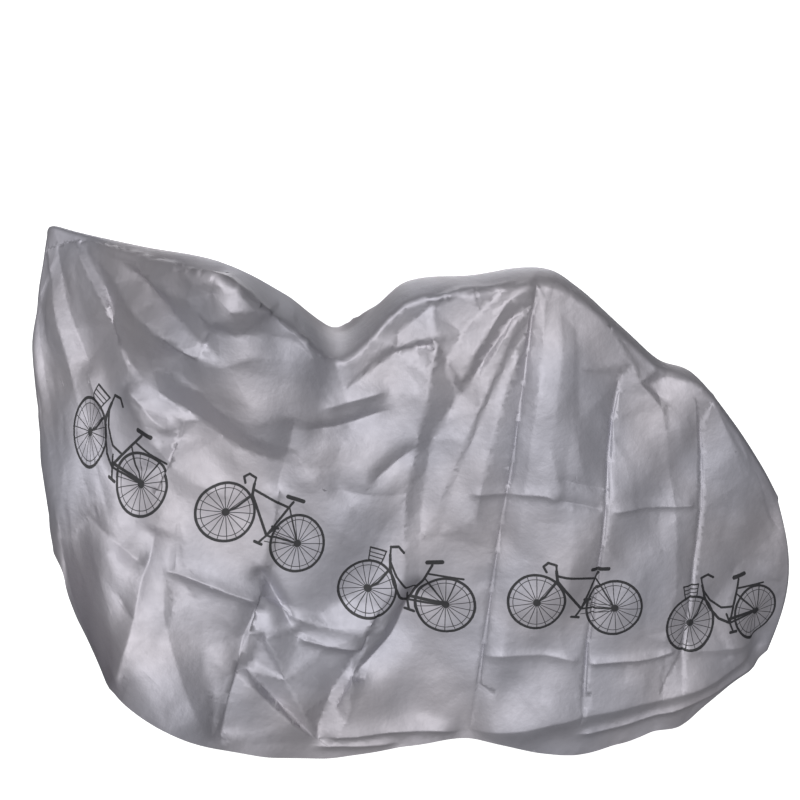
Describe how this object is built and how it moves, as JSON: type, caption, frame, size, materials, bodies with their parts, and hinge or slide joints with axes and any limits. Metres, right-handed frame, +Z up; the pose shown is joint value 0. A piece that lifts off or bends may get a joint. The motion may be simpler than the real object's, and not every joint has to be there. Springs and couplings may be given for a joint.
{
  "type": "bicycle cover",
  "caption": "Silver-grey film cover draped over a bicycle, with peaks over the grips and saddle, a sagging swag between them, a rounded rear end and an open hem.",
  "frame": {"origin": "underside of the film where the saddle holds the cover up", "axes": "+X towards the bicycle's rear wheel, +Y towards its far side (the rider's right), +Z up; the front weld is at -X"},
  "size_m": [1.5673, 0.6475, 1.0524],
  "materials": {
    "cover": "satin silver-grey PEVA film with crisp folds, printed in black with a row of small plain bicycles"
  },
  "bodies": {
    "root": {"cover": "cover"}
  },
  "joints": []
}
